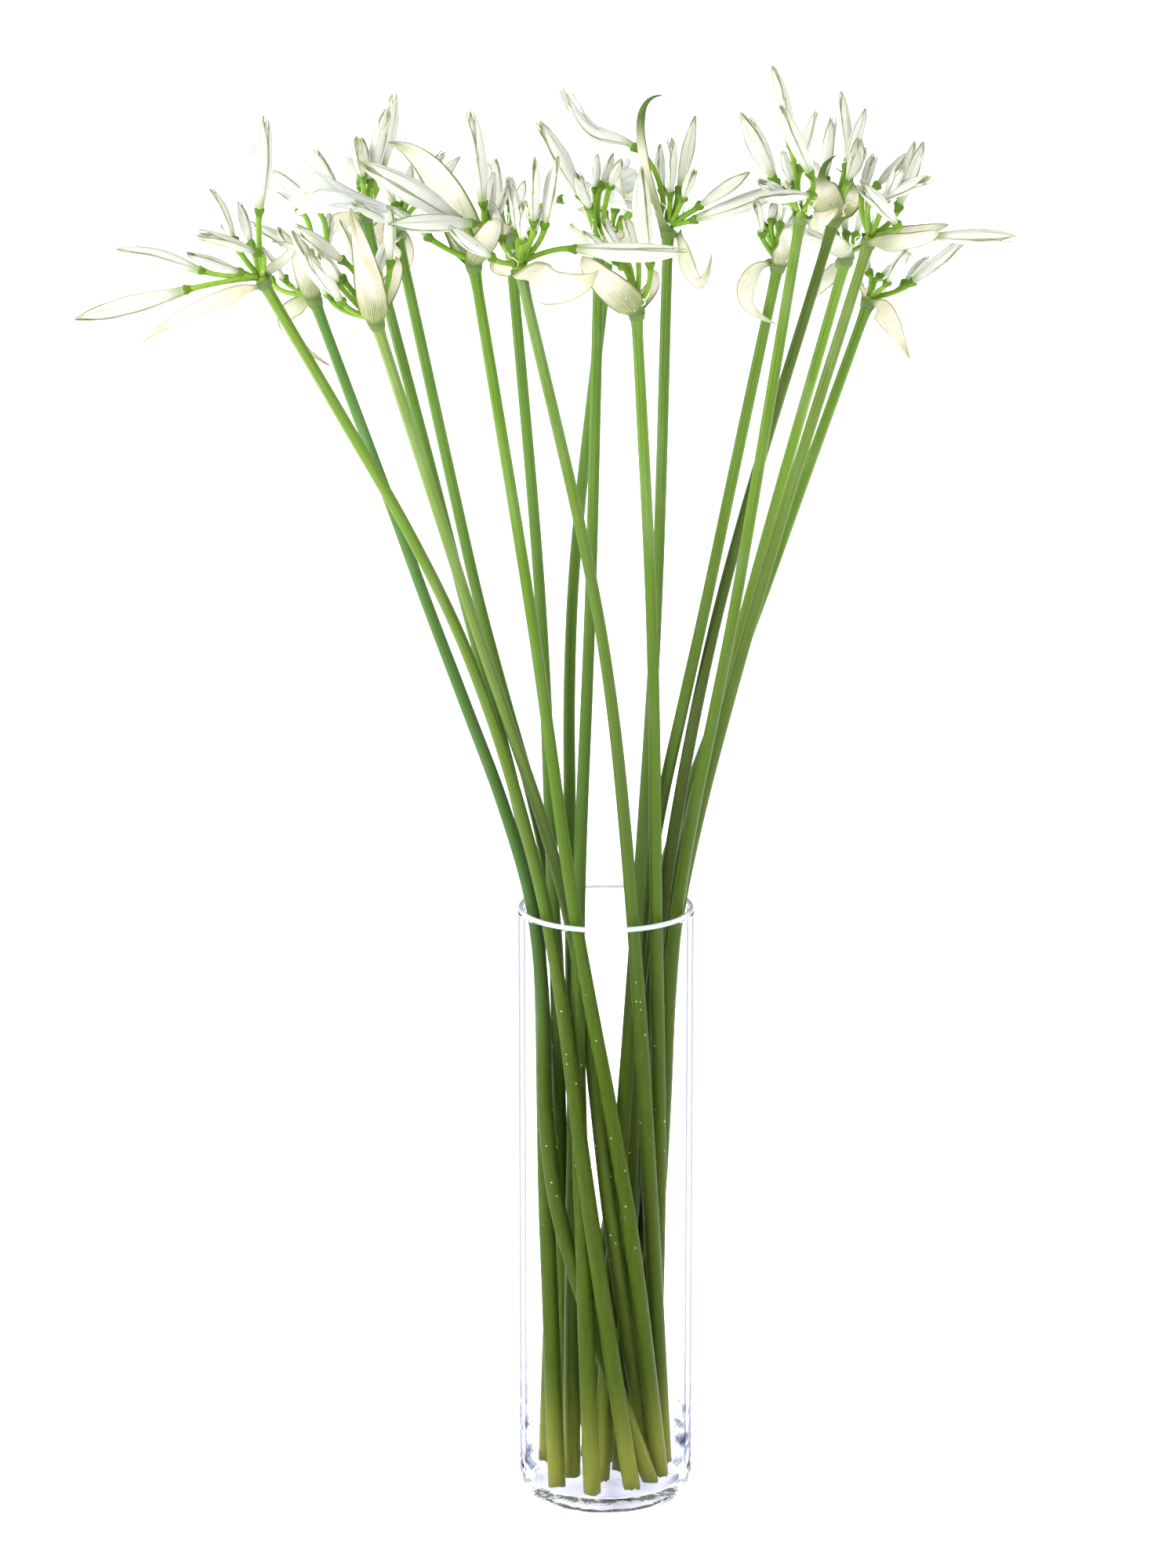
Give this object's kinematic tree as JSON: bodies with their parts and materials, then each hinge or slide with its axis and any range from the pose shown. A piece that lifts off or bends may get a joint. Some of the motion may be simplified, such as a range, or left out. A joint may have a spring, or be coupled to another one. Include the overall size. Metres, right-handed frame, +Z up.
{
  "type": "cut white nerine in a glass vase",
  "caption": "Leafless cut stalks of white nerine, each with an umbel of narrow florets and two papery spathe valves, fanned out in a clear cylinder vase.",
  "frame": {"origin": "middle of the vase's foot, on the surface that it stands on", "axes": "+Z up along the vase's axis, the front of the arrangement towards -Y"},
  "size_m": [0.508, 0.274, 0.8261],
  "materials": {
    "clear_glass": "clear polished glass",
    "green_stalk": "smooth satin plant stalk, yellow-green to mid green",
    "white_floret": "soft matt petals on green pedicels",
    "papery_spathe": "thin veined papery bract, cream with green and peach"
  },
  "bodies": {
    "root": {"vase": "clear_glass", "stalk_01": "green_stalk", "stalk_02": "green_stalk", "stalk_03": "green_stalk", "stalk_04": "green_stalk", "stalk_05": "green_stalk", "stalk_06": "green_stalk", "stalk_07": "green_stalk", "stalk_08": "green_stalk", "stalk_09": "green_stalk", "stalk_10": "green_stalk", "stalk_11": "green_stalk", "stalk_12": "green_stalk", "stalk_13": "green_stalk", "stalk_14": "green_stalk", "stalk_15": "green_stalk", "stalk_16": "green_stalk", "stalk_17": "green_stalk", "stalk_18": "green_stalk", "umbel_01": "white_floret", "umbel_02": "white_floret", "umbel_03": "white_floret", "umbel_04": "white_floret", "umbel_05": "white_floret", "umbel_06": "white_floret", "umbel_07": "white_floret", "umbel_08": "white_floret", "umbel_09": "white_floret", "umbel_10": "white_floret", "umbel_11": "white_floret", "umbel_12": "white_floret", "umbel_13": "white_floret", "umbel_14": "white_floret", "umbel_15": "white_floret", "umbel_16": "white_floret", "umbel_17": "white_floret", "umbel_18": "white_floret", "spathe_01": "papery_spathe", "spathe_02": "papery_spathe", "spathe_03": "papery_spathe", "spathe_04": "papery_spathe", "spathe_05": "papery_spathe", "spathe_06": "papery_spathe", "spathe_07": "papery_spathe", "spathe_08": "papery_spathe", "spathe_09": "papery_spathe", "spathe_10": "papery_spathe", "spathe_11": "papery_spathe", "spathe_12": "papery_spathe", "spathe_13": "papery_spathe", "spathe_14": "papery_spathe", "spathe_15": "papery_spathe", "spathe_16": "papery_spathe", "spathe_17": "papery_spathe", "spathe_18": "papery_spathe"}
  },
  "joints": []
}
